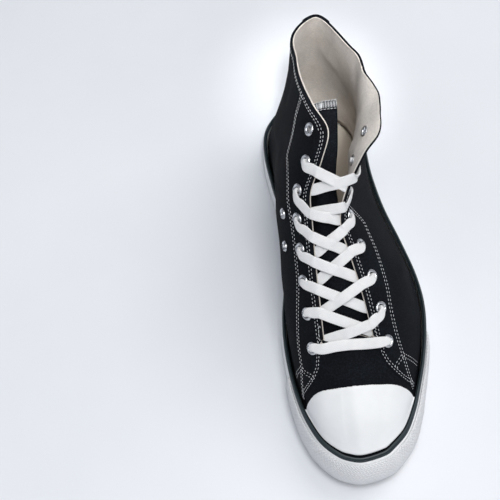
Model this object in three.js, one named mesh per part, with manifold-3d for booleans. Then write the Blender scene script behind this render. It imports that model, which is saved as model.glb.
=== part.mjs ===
// High top canvas sneaker for the left foot, standing empty on its sole.
// Millimetres, +Z up, toe towards -Y, heel towards +Y, outer side of the foot towards +X.
// The origin is the middle of the footprint's box, on the ground.

import * as THREE from "three";
import { mergeVertices } from "three/addons/utils/BufferGeometryUtils.js";
import Module from "manifold-3d";

const wasm = await Module();
wasm.setup();

// Driving sizes of the last
const SHOE_LENGTH = 300;
const BALL_WIDTH = 104.4;
const COLLAR_HEIGHT = 157;

// Sole
const SOLE_THICKNESS = 8;
const TREAD_THICKNESS = 2.2;
const TREAD_SETBACK = 0.8;
const TOE_SPRING = 7;
const TOE_SPRING_LENGTH = 81;
const ARCH_RISE = 1.2;
const ARCH_MIDDLE = 0.6;
const ARCH_REACH = 0.13;
const INSOLE_THICKNESS = 4;
const GROOVE_DEPTH = 1.5;
const GROOVE_WIDTH = 3;
const GROOVE_PITCH = 9;
const GROOVE_RIM = 9;

// Rubber band round the sole
const FOXING_HEIGHT = 27;
const FOXING_THICKNESS = 3.5;
const FOXING_TUCK = 1;
const STRIPE_HEIGHT = 3.6;
const BUMPER_THICKNESS = 2;
const BUMPER_END = 0.4;

// Upper
const UPPER_WALL = 2.6;
const VAMP_STEP = 0.8;
const CAP_LENGTH = 55;
const CAP_THICKNESS = 1.5;
const CAP_REACH = 0.8;
const HEEL_STRIP_WIDTH = 17;
const HEEL_STRIP_THICKNESS = 1;
const TONGUE_THICKNESS = 2.2;
const TONGUE_BEND = 2.2;

// Eyelets and lace
const EYELETS_PER_SIDE = 8;
const EYELET_DIAMETER = 9;
const EYELET_BORE = 4.6;
const EYELET_METAL = 0.6;
const EYELET_SETBACK = 10.5;
const FLAP_SETBACK = 4;
const EYELET_ROLL = 0.8;
const EYELET_LIFT = 0.6;
const VENT_DIAMETER = 7.6;
const VENT_BORE = 3.6;
const LACE_WIDTH = 7.6;
const LACE_THICKNESS = 1.6;
const LACE_PAIRS = 7;
const LACE_LIFT = 2.4;
const EDGE_LIFT = 3;

// The gap that pieces lying against each other keep
const CLEARANCE = 0.3;

// Stations of the foot from the toe to the heel.
// foot: place along SHOE_LENGTH; inner, outer: the band's outline from the middle, as shares of
// half of BALL_WIDTH; top: the band's height over FOXING_HEIGHT; lean: how far its top edge
// stands back, in shares of FOXING_HEIGHT.
const SOLE = [
  { foot: 0.0077, inner: -0.17, outer: -0.17, top: 1.26, lean: 0.34 },
  { foot: 0.02, inner: -0.421, outer: 0.17, top: 1.256, lean: 0.32 },
  { foot: 0.0433, inner: -0.594, outer: 0.35, top: 1.25, lean: 0.28 },
  { foot: 0.0833, inner: -0.759, outer: 0.54, top: 1.22, lean: 0.22 },
  { foot: 0.14, inner: -0.877, outer: 0.68, top: 1.16, lean: 0.16 },
  { foot: 0.1933, inner: -0.937, outer: 0.77, top: 1.11, lean: 0.11 },
  { foot: 0.26, inner: -0.981, outer: 0.874, top: 1.07, lean: 0.07 },
  { foot: 0.3333, inner: -0.998, outer: 0.958, top: 1.04, lean: 0.05 },
  { foot: 0.4067, inner: -0.973, outer: 0.994, top: 1.02, lean: 0.045 },
  { foot: 0.4833, inner: -0.897, outer: 0.948, top: 1.0, lean: 0.045 },
  { foot: 0.5733, inner: -0.808, outer: 0.82, top: 1.0, lean: 0.045 },
  { foot: 0.6667, inner: -0.805, outer: 0.67, top: 1.01, lean: 0.045 },
  { foot: 0.76, inner: -0.885, outer: 0.58, top: 1.04, lean: 0.045 },
  { foot: 0.84, inner: -0.93, outer: 0.554, top: 1.08, lean: 0.045 },
  { foot: 0.9067, inner: -0.89, outer: 0.504, top: 1.12, lean: 0.045 },
  { foot: 0.9567, inner: -0.69, outer: 0.335, top: 1.15, lean: 0.045 },
  { foot: 0.9883, inner: -0.421, outer: 0.077, top: 1.165, lean: 0.045 },
  { foot: 1.0, inner: -0.17, outer: -0.17, top: 1.17, lean: 0.045 },
];

// The edge of the throat and collar at each of the same stations, for either side of the foot.
// x: share of half of BALL_WIDTH; y: share of SHOE_LENGTH; z: share of COLLAR_HEIGHT;
// low, high: how far the wall swells between sole and edge, as shares of its height there.
const INNER_SIDE = [
  { x: -0.167, y: 0.28, z: 0.468, low: 0.13, high: 0.03 },
  { x: -0.253, y: 0.28, z: 0.467, low: 0.13, high: 0.04 },
  { x: -0.33, y: 0.279, z: 0.465, low: 0.14, high: 0.06 },
  { x: -0.406, y: 0.276, z: 0.462, low: 0.15, high: 0.09 },
  { x: -0.452, y: 0.2743, z: 0.46, low: 0.15, high: 0.12 },
  { x: -0.49, y: 0.27, z: 0.459, low: 0.14, high: 0.15 },
  { x: -0.497, y: 0.288, z: 0.484, low: 0.13, high: 0.17 },
  { x: -0.5, y: 0.327, z: 0.535, low: 0.15, high: 0.18 },
  { x: -0.503, y: 0.377, z: 0.596, low: 0.19, high: 0.18 },
  { x: -0.502, y: 0.433, z: 0.666, low: 0.22, high: 0.18 },
  { x: -0.489, y: 0.493, z: 0.745, low: 0.21, high: 0.19 },
  { x: -0.469, y: 0.543, z: 0.841, low: 0.165, high: 0.19 },
  { x: -0.297, y: 0.5867, z: 0.949, low: 0.11, high: 0.19 },
  { x: -0.186, y: 0.6333, z: 1.035, low: 0.02, high: 0.17 },
  { x: -0.335, y: 0.703, z: 1.032, low: 0.04, high: 0.07 },
  { x: -0.441, y: 0.787, z: 1.019, low: 0.05, high: 0.02 },
  { x: -0.433, y: 0.892, z: 1.004, low: 0.05, high: 0 },
  { x: -0.077, y: 0.94, z: 1.0, low: 0.05, high: -0.01 },
];
const OUTER_SIDE = [
  { x: -0.167, y: 0.28, z: 0.468, low: 0.13, high: 0.03 },
  { x: -0.08, y: 0.28, z: 0.467, low: 0.13, high: 0.04 },
  { x: -0.004, y: 0.2783, z: 0.465, low: 0.14, high: 0.06 },
  { x: 0.073, y: 0.272, z: 0.461, low: 0.15, high: 0.09 },
  { x: 0.114, y: 0.2667, z: 0.457, low: 0.15, high: 0.12 },
  { x: 0.157, y: 0.2625, z: 0.457, low: 0.14, high: 0.15 },
  { x: 0.151, y: 0.277, z: 0.471, low: 0.13, high: 0.17 },
  { x: 0.113, y: 0.32, z: 0.525, low: 0.13, high: 0.17 },
  { x: 0.062, y: 0.372, z: 0.589, low: 0.12, high: 0.15 },
  { x: -0.01, y: 0.43, z: 0.657, low: 0.09, high: 0.12 },
  { x: -0.077, y: 0.49, z: 0.736, low: 0.06, high: 0.05 },
  { x: 0.029, y: 0.5367, z: 0.834, low: 0.04, high: -0.09 },
  { x: 0.268, y: 0.5867, z: 0.955, low: 0.04, high: -0.17 },
  { x: 0.469, y: 0.62, z: 1.01, low: 0.05, high: -0.2 },
  { x: 0.528, y: 0.6867, z: 1.022, low: 0.06, high: -0.16 },
  { x: 0.432, y: 0.778, z: 1.016, low: 0.06, high: -0.08 },
  { x: 0.22, y: 0.87, z: 1.006, low: 0.06, high: -0.03 },
  { x: -0.077, y: 0.94, z: 1.0, low: 0.05, high: -0.01 },
];

// The tongue from under the throat's end to its free top.
// y: share of SHOE_LENGTH; z: share of COLLAR_HEIGHT, both at its crown; inner, outer: its borders
// as shares of half of BALL_WIDTH; innerDrop, outerDrop: how far they hang, in shares of COLLAR_HEIGHT.
const TONGUE = [
  { y: 0.243, z: 0.432, inner: -0.5, outer: 0.17, innerDrop: 0.02, outerDrop: 0.02 },
  { y: 0.283, z: 0.464, inner: -0.6, outer: 0.26, innerDrop: 0.045, outerDrop: 0.045 },
  { y: 0.343, z: 0.567, inner: -0.66, outer: 0.24, innerDrop: 0.08, outerDrop: 0.08 },
  { y: 0.42, z: 0.658, inner: -0.64, outer: 0.12, innerDrop: 0.1, outerDrop: 0.08 },
  { y: 0.49, z: 0.74, inner: -0.6, outer: -0.01, innerDrop: 0.11, outerDrop: 0.05 },
  { y: 0.56, z: 0.825, inner: -0.56, outer: -0.06, innerDrop: 0.12, outerDrop: 0.03 },
  { y: 0.63, z: 0.9, inner: -0.48, outer: 0.0, innerDrop: 0.12, outerDrop: 0.015 },
  { y: 0.715, z: 0.965, inner: -0.37, outer: 0.06, innerDrop: 0.08, outerDrop: 0.01 },
];

// Vents low on the inner side, by station and by share of the way up the wall.
const VENTS = [
  { station: 9.62, up: 0.6 },
  { station: 10.65, up: 0.67 },
];

// Parts of the sole's length that have grooves.
const GROOVED = [
  { first: 0.13, last: 0.47 },
  { first: 0.72, last: 0.93 },
];

// Ends of the bumper, by station on either side.
const BUMPER_INNER_STATION = 6;
const BUMPER_OUTER_STATION = 7;

const HEEL_STATION = SOLE.length - 1;
const STATIONS_ROUND = 2 * HEEL_STATION;
const QUARTER_STATION = 5;
const LAST_EYELET_STATION = 13.3;
const ROOM_BELOW_EYELETS = 0.15;
const ROOM_ABOVE_EYELETS = 0.15;
const LOW_POINT = 0.3;
const HIGH_POINT = 0.8;
const WIDEST_SHARE = 0.3;
const BURIED_SHARE = 0.24;

// Fineness of the faceted forms
const COLUMNS_PER_STATION = 2;
const ROWS_UP = 11;
const EYELET_SIDES = 10;
const LACE_PIECES = 10;

const canvas = new THREE.MeshStandardMaterial({ color: 0x171a21, roughness: 0.9, metalness: 0 });
const darkRubber = new THREE.MeshStandardMaterial({ color: 0x1f2f35, roughness: 0.6, metalness: 0 });
const whiteRubber = new THREE.MeshStandardMaterial({ color: 0xe9ecf0, roughness: 0.5, metalness: 0 });
const gumRubber = new THREE.MeshStandardMaterial({ color: 0xd9d4c8, roughness: 0.7, metalness: 0 });
const lining = new THREE.MeshStandardMaterial({ color: 0xcfc4b4, roughness: 0.9, metalness: 0 });
const steel = new THREE.MeshStandardMaterial({ color: 0xb9bec6, roughness: 0.3, metalness: 1 });
const cotton = new THREE.MeshStandardMaterial({ color: 0xf1f2f4, roughness: 0.95, metalness: 0 });

// Smooth value of one column of a table round the foot, where round counts stations from the toe
// along the outer side to the heel and back along the inner side.
function around(round, pick) {
  const wrapped = ((round % STATIONS_ROUND) + STATIONS_ROUND) % STATIONS_ROUND;
  const first = Math.floor(wrapped);
  const t = wrapped - first;
  const value = (n) => {
    const k = (n + STATIONS_ROUND) % STATIONS_ROUND;
    return k <= HEEL_STATION ? pick(k, true) : pick(STATIONS_ROUND - k, false);
  };
  const [a, b, c, d] = [value(first - 1), value(first), value(first + 1), value(first + 2)];
  return b + 0.5 * t * (c - a + t * (2 * a - 5 * b + 4 * c - d + t * (3 * (b - c) + d - a)));
}

const halfWidth = BALL_WIDTH / 2;
const sideTable = (outer) => (outer ? OUTER_SIDE : INNER_SIDE);

// Height of the sole's underside over the ground: it lifts at the toe and under the arch.
function underside(y) {
  const toe = Math.max(0, 1 - y / TOE_SPRING_LENGTH);
  const arch = Math.max(0, 1 - Math.abs(y / SHOE_LENGTH - ARCH_MIDDLE) / ARCH_REACH);
  return TOE_SPRING * toe * toe + ARCH_RISE * arch * arch * (3 - 2 * arch);
}

// Point of the band's outline in plan, and the direction out of the foot there.
function outline(round) {
  const at = (r) =>
    new THREE.Vector3(
      around(r, (k, outer) => (outer ? SOLE[k].outer : SOLE[k].inner)) * halfWidth,
      around(r, (k) => SOLE[k].foot) * SHOE_LENGTH,
      0,
    );
  const step = 0.02;
  const along = at(round + step).sub(at(round - step)).normalize();
  return { point: at(round), out: new THREE.Vector3(along.y, -along.x, 0) };
}

// Point of the sole's side at a share of its height, a distance in from the band's face.
function soleSide(round, share, inset) {
  const { point, out } = outline(round);
  const above = Math.max(0, (share - WIDEST_SHARE) / (1 - WIDEST_SHARE));
  const below = Math.max(0, 1 - share / WIDEST_SHARE);
  const lean = around(round, (k) => SOLE[k].lean) * FOXING_HEIGHT;
  point.addScaledVector(out, -inset - lean * above * above - FOXING_TUCK * below * below);
  const bottom = underside(point.y) + TREAD_THICKNESS + CLEARANCE;
  const top = around(round, (k) => SOLE[k].top) * FOXING_HEIGHT;
  point.z = bottom + (top - bottom) * share;
  return point;
}

// Point of the upper's outer face, where up runs from 0 at the band's top to 1 at the edge.
function upperFace(round, up) {
  const foot = soleSide(round, 1, FOXING_THICKNESS + CLEARANCE);
  const edge = new THREE.Vector3(
    around(round, (k, outer) => sideTable(outer)[k].x) * halfWidth,
    around(round, (k, outer) => sideTable(outer)[k].y) * SHOE_LENGTH,
    around(round, (k, outer) => sideTable(outer)[k].z) * COLLAR_HEIGHT,
  );
  const low = around(round, (k, outer) => sideTable(outer)[k].low);
  const high = around(round, (k, outer) => sideTable(outer)[k].high);
  const chord = edge.clone().sub(foot);
  const length = chord.length();
  const swell = outline(round).out;
  swell.addScaledVector(chord, -swell.dot(chord) / (length * length)).setLength(length);
  const lowPoint = foot.clone().addScaledVector(chord, LOW_POINT).addScaledVector(swell, low);
  const highPoint = foot.clone().addScaledVector(chord, HIGH_POINT).addScaledVector(swell, high);
  return new THREE.CubicBezierCurve3(foot, lowPoint, highPoint, edge).getPoint(up);
}

// Direction out of the upper's face, taken over a short stretch so that corners turn gently.
function upperOut(round, up) {
  const rise = 0.02;
  const reach = 0.3;
  const low = Math.max(0, up - rise);
  const high = Math.min(1, up + rise);
  const along = upperFace(round + reach, up).sub(upperFace(round - reach, up));
  const rising = upperFace(round, high).sub(upperFace(round, low));
  return along.cross(rising).normalize();
}

const upperAt = (round, up, out) => upperFace(round, up).addScaledVector(upperOut(round, up), out);

// Station of the foot that a place round it belongs to.
const stationOf = (round) => Math.min(round, STATIONS_ROUND - round);

// Closed body between an outer and an inner face, each a function of column and row.
function between(columns, rows, closed, outerFace, innerFace) {
  const across = columns.length;
  const up = rows.length;
  const points = [];
  for (const face of [outerFace, innerFace]) {
    for (const row of rows) {
      for (const column of columns) {
        points.push(...face(column, row).toArray());
      }
    }
  }
  const at = (side, j, i) => side * across * up + j * across + (i % across);
  const indices = [];
  const quad = (a, b, c, d) => indices.push(a, b, c, a, c, d);
  const spans = closed ? across : across - 1;
  for (let i = 0; i < spans; i++) {
    for (let j = 0; j < up - 1; j++) {
      quad(at(0, j, i), at(0, j, i + 1), at(0, j + 1, i + 1), at(0, j + 1, i));
      quad(at(1, j, i), at(1, j + 1, i), at(1, j + 1, i + 1), at(1, j, i + 1));
    }
    quad(at(0, up - 1, i), at(0, up - 1, i + 1), at(1, up - 1, i + 1), at(1, up - 1, i));
    quad(at(0, 0, i + 1), at(0, 0, i), at(1, 0, i), at(1, 0, i + 1));
  }
  if (!closed) {
    for (let j = 0; j < up - 1; j++) {
      quad(at(0, j, 0), at(0, j + 1, 0), at(1, j + 1, 0), at(1, j, 0));
      quad(at(0, j + 1, across - 1), at(0, j, across - 1), at(1, j, across - 1), at(1, j + 1, across - 1));
    }
  }
  return geometryOf(points, indices);
}

function geometryOf(points, indices) {
  const geometry = new THREE.BufferGeometry();
  geometry.setAttribute("position", new THREE.Float32BufferAttribute(points, 3));
  geometry.setIndex(indices);
  return geometry;
}

function solidOf(geometry) {
  const bare = geometry.clone().deleteAttribute("normal").deleteAttribute("uv");
  const merged = mergeVertices(bare, 1e-4);
  return new wasm.Manifold(
    new wasm.Mesh({
      numProp: 3,
      vertProperties: merged.attributes.position.array,
      triVerts: new Uint32Array(merged.index.array),
    }),
  );
}

function geometryOfSolid(solid) {
  const mesh = solid.getMesh();
  return geometryOf(mesh.vertProperties, Array.from(mesh.triVerts));
}

const shoe = new THREE.Group();

function add(name, geometry, material) {
  geometry.computeVertexNormals();
  const mesh = new THREE.Mesh(geometry, material);
  mesh.name = name;
  shoe.add(mesh);
}

// Evenly spaced values from first to last.
function steps(first, last, count) {
  return Array.from({ length: count + 1 }, (_, n) => first + ((last - first) * n) / count);
}

const ringColumns = steps(0, STATIONS_ROUND, STATIONS_ROUND * COLUMNS_PER_STATION).slice(0, -1);

// Flat plate of the sole's outline, between two heights over the underside.
function plate(inset, low, high) {
  const half = HEEL_STATION * COLUMNS_PER_STATION;
  const points = [];
  for (const height of [low, high]) {
    for (const round of ringColumns) {
      const { point, out } = outline(round);
      point.addScaledVector(out, -inset);
      points.push(point.x, point.y, underside(point.y) + height);
    }
  }
  const count = ringColumns.length;
  const indices = [];
  for (let i = 0; i < count; i++) {
    const next = (i + 1) % count;
    indices.push(i, next, count + next, i, count + next, count + i);
  }
  for (let k = 0; k < half; k++) {
    const [a, b] = [k, k + 1];
    const [c, d] = [(count - k) % count, count - k - 1];
    if (k > 0) {
      indices.push(a, c, d, count + a, count + d, count + c);
    }
    if (k < half - 1) {
      indices.push(a, d, b, count + a, count + b, count + d);
    }
  }
  return geometryOf(points, indices);
}

// Width of the sole at a place along it: the outline's two sides.
function sidesAt(y) {
  const find = (from, to) => {
    let [near, far] = [from, to];
    for (let n = 0; n < 30; n++) {
      const middle = (near + far) / 2;
      if (outline(middle).point.y < y) {
        near = middle;
      } else {
        far = middle;
      }
    }
    return outline(near).point.x;
  };
  return { outer: find(0, HEEL_STATION), inner: find(STATIONS_ROUND, HEEL_STATION) };
}

// Places of the grooves along the forefoot and along the heel.
function groovePlaces() {
  const places = [];
  for (const { first, last } of GROOVED) {
    const room = (last - first) * SHOE_LENGTH;
    const count = Math.floor(room / GROOVE_PITCH);
    for (let n = 0; n < count; n++) {
      places.push(first * SHOE_LENGTH + GROOVE_PITCH * (n + 0.5));
    }
  }
  return places;
}

function outsole() {
  const tread = solidOf(plate(TREAD_SETBACK + FOXING_TUCK, 0, TREAD_THICKNESS));
  const edge = FOXING_THICKNESS + FOXING_TUCK + CLEARANCE;
  const core = solidOf(plate(edge, TREAD_THICKNESS / 2, SOLE_THICKNESS));
  let sole = tread.add(core);
  for (const y of groovePlaces()) {
    const { outer, inner } = sidesAt(y);
    const length = outer - inner - 2 * GROOVE_RIM;
    const groove = new THREE.BoxGeometry(length, GROOVE_WIDTH, 2 * GROOVE_DEPTH);
    groove.translate((outer + inner) / 2, y, underside(y));
    sole = sole.subtract(solidOf(groove));
  }
  return geometryOfSolid(sole);
}

const stripeShare = (round) => {
  const top = around(round, (k) => SOLE[k].top) * FOXING_HEIGHT;
  return 1 - STRIPE_HEIGHT / (top - TREAD_THICKNESS);
};
const gapShare = CLEARANCE / FOXING_HEIGHT;

function band(shareOf, rows) {
  return between(
    ringColumns,
    rows,
    true,
    (round, row) => soleSide(round, shareOf(round, row), 0),
    (round, row) => soleSide(round, shareOf(round, row), FOXING_THICKNESS),
  );
}

function upper() {
  const beside = 0.03;
  const columns = ringColumns.filter((r) => Math.abs(stationOf(r) - QUARTER_STATION) > 0.01);
  for (const quarter of [QUARTER_STATION, STATIONS_ROUND - QUARTER_STATION]) {
    columns.push(quarter - beside, quarter + beside);
  }
  columns.sort((a, b) => a - b);
  const hidden = [-1, -0.5];
  const rows = [...hidden, ...steps(0, 1, ROWS_UP)];
  const inset = FOXING_THICKNESS + CLEARANCE;
  const step = (round) => (stationOf(round) < QUARTER_STATION ? VAMP_STEP : 0);
  const face = (round, row, depth) => {
    if (row >= 0) {
      return upperAt(round, row, -depth);
    }
    const point = soleSide(round, 1 + row * (1 - BURIED_SHARE), inset + depth);
    if (row === hidden[0]) {
      point.z = underside(point.y) + SOLE_THICKNESS + CLEARANCE;
    }
    return point;
  };
  const geometry = between(
    columns,
    rows,
    true,
    (round, row) => face(round, row, step(round)),
    (round, row) => face(round, row, UPPER_WALL),
  );
  return solidOf(geometry);
}

const belowStripe = (round, row) => row * (stripeShare(round) - gapShare);
const withinStripe = (round, row) => stripeShare(round) + row * (1 - stripeShare(round));

// The bumper wraps the toe outside the band, and thins towards its two ends.
function bumper() {
  const first = -BUMPER_INNER_STATION;
  const last = BUMPER_OUTER_STATION;
  const columns = steps(first, last, Math.round((last - first) * COLUMNS_PER_STATION));
  const thickness = (round) => (round === first || round === last ? BUMPER_END : 1) * BUMPER_THICKNESS;
  return between(
    columns,
    steps(0, 1, 4),
    false,
    (round, row) => soleSide(round, belowStripe(round, row), -CLEARANCE - thickness(round)),
    (round, row) => soleSide(round, belowStripe(round, row), -CLEARANCE),
  );
}

// Share of the way up the wall at a distance over the band.
function upOver(round, distance) {
  const start = upperFace(round, 0);
  const step = 0.01;
  return (step * distance) / upperFace(round, step).distanceTo(start);
}

// The cap is a shell of the toe's own surface, cut straight across.
function toeCap() {
  const last = QUARTER_STATION - 0.1;
  const columns = steps(-last, last, Math.round(2 * last * COLUMNS_PER_STATION));
  const depth = VAMP_STEP - CLEARANCE;
  const up = (round, row) => upOver(round, 2 * CLEARANCE) + row * CAP_REACH;
  const shell = between(
    columns,
    steps(0, 1, 6),
    false,
    (round, row) => upperAt(round, up(round, row), CAP_THICKNESS - depth),
    (round, row) => upperAt(round, up(round, row), -depth),
  );
  const size = 2 * BALL_WIDTH;
  const front = new THREE.BoxGeometry(size, size, size).translate(0, CAP_LENGTH - size / 2, 0);
  return geometryOfSolid(solidOf(shell).intersect(solidOf(front)));
}

// Strip of cloth over the back seam, the same width all the way up.
function heelStrip() {
  const reach = (up) => {
    const step = 0.05;
    const speed = upperFace(HEEL_STATION, up).distanceTo(upperFace(HEEL_STATION + step, up)) / step;
    return HEEL_STRIP_WIDTH / 2 / speed;
  };
  const place = (across, row, out) => {
    const up = upOver(HEEL_STATION, 2 * CLEARANCE) * (1 - row) + row;
    return upperAt(HEEL_STATION + across * reach(up), up, out);
  };
  return between(
    steps(-1, 1, 4),
    steps(0, 1, 10),
    false,
    (across, row) => place(across, row, CLEARANCE + HEEL_STRIP_THICKNESS),
    (across, row) => place(across, row, CLEARANCE),
  );
}

// Value of one column of the tongue's table at a share of its length.
function tongueValue(share, pick) {
  const last = TONGUE.length - 1;
  const first = Math.min(last - 1, Math.floor(share * last));
  const t = share * last - first;
  const value = (n) => pick(TONGUE[Math.max(0, Math.min(last, n))]);
  const [a, b, c, d] = [value(first - 1), value(first), value(first + 1), value(first + 2)];
  return b + 0.5 * t * (c - a + t * (2 * a - 5 * b + 4 * c - d + t * (3 * (b - c) + d - a)));
}

// Point of the tongue's middle line and of its face: share runs up its length, across from -1 at
// its inner border to 1.
const tongueCrown = (share) =>
  new THREE.Vector3(
    0,
    tongueValue(share, (row) => row.y) * SHOE_LENGTH,
    tongueValue(share, (row) => row.z) * COLLAR_HEIGHT,
  );

function tongueFace(share, across) {
  const step = 0.01;
  const along = tongueCrown(Math.min(1, share + step)).sub(tongueCrown(Math.max(0, share - step)));
  const down = new THREE.Vector3(0, along.z, -along.y).normalize();
  const inner = tongueValue(share, (row) => row.inner) * halfWidth;
  const outer = tongueValue(share, (row) => row.outer) * halfWidth;
  const drop = tongueValue(share, (row) => (across < 0 ? row.innerDrop : row.outerDrop)) * COLLAR_HEIGHT;
  const point = tongueCrown(share);
  point.x = (inner + outer) / 2 + (across * (outer - inner)) / 2;
  return point.addScaledVector(down, drop * Math.abs(across) ** TONGUE_BEND);
}

function tongueAt(share, across, depth) {
  const step = 0.01;
  const up = tongueFace(Math.min(1, share + step), across).sub(tongueFace(Math.max(0, share - step), across));
  const left = Math.max(-1, across - step);
  const right = Math.min(1, across + step);
  const out = tongueFace(share, right).sub(tongueFace(share, left)).cross(up).normalize();
  return tongueFace(share, across).addScaledVector(out, -depth);
}

// The tongue lies against the wall's inner face, a clearance below it.
function tongue() {
  const under = UPPER_WALL + CLEARANCE;
  return between(
    steps(-1, 1, 8),
    steps(0, 1, 14),
    false,
    (across, share) => tongueAt(share, across, under),
    (across, share) => tongueAt(share, across, under + TONGUE_THICKNESS),
  );
}

// Round of an eyelet's column and its share up the wall: pair 0 is the lowest.
function eyeletPlace(outer, pair) {
  const roundOf = (station) => (outer ? station : STATIONS_ROUND - station);
  const stations = steps(QUARTER_STATION, LAST_EYELET_STATION, 160);
  const lengths = [0];
  for (let n = 1; n < stations.length; n++) {
    const piece = upperFace(roundOf(stations[n]), 1).distanceTo(upperFace(roundOf(stations[n - 1]), 1));
    lengths.push(lengths[n - 1] + piece);
  }
  const gaps = EYELETS_PER_SIDE - 1 + ROOM_BELOW_EYELETS + ROOM_ABOVE_EYELETS;
  const share = (pair + ROOM_BELOW_EYELETS) / gaps;
  const wanted = share * lengths[lengths.length - 1];
  const setback = EYELET_SETBACK + FLAP_SETBACK * share ** 2;
  const round = roundOf(stations[lengths.findIndex((length) => length >= wanted)]);
  let up = 1;
  let travelled = 0;
  while (travelled < setback) {
    travelled += upperFace(round, up).distanceTo(upperFace(round, up - 0.002));
    up -= 0.002;
  }
  return { round, up };
}

// A geometry standing on +Y, turned and moved onto the wall.
function onWall(geometry, { round, up }) {
  const turn = new THREE.Quaternion().setFromUnitVectors(new THREE.Vector3(0, 1, 0), upperOut(round, up));
  const face = upperFace(round, up);
  return geometry.applyQuaternion(turn).translate(face.x, face.y, face.z);
}

function eyelet(diameter, bore) {
  const under = CLEARANCE + EYELET_LIFT;
  const barrel = bore / 2 + EYELET_METAL;
  const inside = -UPPER_WALL - under;
  const profile = [
    [bore / 2, inside],
    [barrel, inside],
    [barrel, under],
    [diameter / 2, under],
    [(diameter / 2 + barrel) / 2, under + EYELET_ROLL],
    [bore / 2, under + EYELET_METAL],
    [bore / 2, inside],
  ];
  return new THREE.LatheGeometry(
    profile.map(([r, y]) => new THREE.Vector2(r, y)),
    EYELET_SIDES,
  );
}

const pairs = Array.from({ length: EYELETS_PER_SIDE }, (_, pair) => pair);
const laceEyelets = [true, false].flatMap((outer) =>
  pairs.map((pair) => ({
    name: `eyelet_${outer ? "outer" : "inner"}_${pair + 1}`,
    place: eyeletPlace(outer, pair),
    diameter: EYELET_DIAMETER,
    bore: EYELET_BORE,
  })),
);
const vents = VENTS.map(({ station, up }, n) => ({
  name: `vent_${n + 1}`,
  place: { round: STATIONS_ROUND - station, up },
  diameter: VENT_DIAMETER,
  bore: VENT_BORE,
}));

function upperWithHoles() {
  let solid = upper();
  for (const { place, bore } of [...laceEyelets, ...vents]) {
    const radius = bore / 2 + EYELET_METAL + CLEARANCE;
    const drill = new THREE.CylinderGeometry(radius, radius, 4 * UPPER_WALL, EYELET_SIDES);
    solid = solid.subtract(solidOf(onWall(drill, place)));
  }
  return geometryOfSolid(solid);
}

// The lace over one side's edge beside an eyelet, ending on top of that eyelet.
function laceEnd(outer, pair) {
  const { round, up } = eyeletPlace(outer, pair);
  const edge = upperFace(round, 1);
  const hole = upperFace(round, up);
  const holeOut = upperOut(round, up);
  const corner = edge.clone().sub(hole).normalize().add(upperOut(round, 1)).normalize();
  const rise = CLEARANCE + LACE_THICKNESS / 2;
  const overEyelet = rise + 2 * CLEARANCE + EYELET_LIFT + EYELET_ROLL;
  return [
    { point: edge.clone().addScaledVector(corner, rise + EDGE_LIFT), out: corner },
    { point: edge.lerp(hole, 0.5).addScaledVector(holeOut, overEyelet + CLEARANCE), out: holeOut },
    { point: hole.addScaledVector(holeOut, overEyelet), out: holeOut },
  ];
}

// Flat lace through a few places, each with the direction that its face looks.
function flatLace(places) {
  const path = new THREE.CatmullRomCurve3(places.map(({ point }) => point), false, "centripetal");
  const outs = new THREE.CatmullRomCurve3(places.map(({ out }) => out), false, "centripetal");
  const spot = (t, row, side) => {
    const out = outs.getPoint(t).normalize();
    const across = out.clone().cross(path.getTangent(t)).setLength((LACE_WIDTH / 2) * row);
    return path.getPoint(t).add(across).addScaledVector(out, (side * LACE_THICKNESS) / 2);
  };
  return solidOf(
    between(
      steps(0, 1, LACE_PIECES),
      [-1, 1],
      false,
      (t, row) => spot(t, row, 1),
      (t, row) => spot(t, row, -1),
    ),
  );
}

// Place over the tongue, halfway between two places on the edges.
function overTongue(first, second) {
  const out = first.out.clone().add(second.out).normalize();
  return { point: first.point.clone().lerp(second.point, 0.5).addScaledVector(out, LACE_LIFT), out };
}

// The lace: a bar over the lowest pair of eyelets, then a crossing from each pair to the next.
function lace() {
  const inner = laceEnd(false, 0);
  const outer = laceEnd(true, 0);
  let solid = flatLace([...inner.toReversed(), overTongue(inner[0], outer[0]), ...outer]);
  for (let pair = 0; pair < LACE_PAIRS - 1; pair++) {
    for (const side of [true, false]) {
      const [start] = laceEnd(side, pair);
      const end = laceEnd(!side, pair + 1);
      solid = solid.add(flatLace([start, overTongue(start, end[0]), ...end]));
    }
  }
  return geometryOfSolid(solid);
}

add("outsole", outsole(), gumRubber);
add("foxing", band(belowStripe, steps(0, 1, 4)), whiteRubber);
add("foxing_stripe", band(withinStripe, [0, 1]), darkRubber);
add("toe_bumper", bumper(), whiteRubber);
add("upper", upperWithHoles(), canvas);
add("toe_cap", toeCap(), whiteRubber);
add("heel_strip", heelStrip(), canvas);
add("tongue", tongue(), canvas);
add(
  "insole",
  plate(
    FOXING_THICKNESS + UPPER_WALL + FOXING_TUCK + 2 * CLEARANCE,
    SOLE_THICKNESS + CLEARANCE,
    SOLE_THICKNESS + CLEARANCE + INSOLE_THICKNESS,
  ),
  lining,
);
for (const { name, place, diameter, bore } of [...laceEyelets, ...vents]) {
  add(name, onWall(eyelet(diameter, bore), place), steel);
}
add("lace", lace(), cotton);

// The scene graph moves the shoe so that its footprint's box is centred on the origin.
const bounds = new THREE.Box3().setFromObject(shoe);
const middle = bounds.getCenter(new THREE.Vector3());
shoe.position.set(-middle.x, -middle.y, -bounds.min.z);

export default shoe;
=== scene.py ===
import math

import bmesh
import bpy
import numpy as np
from mathutils import Matrix, Vector


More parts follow.
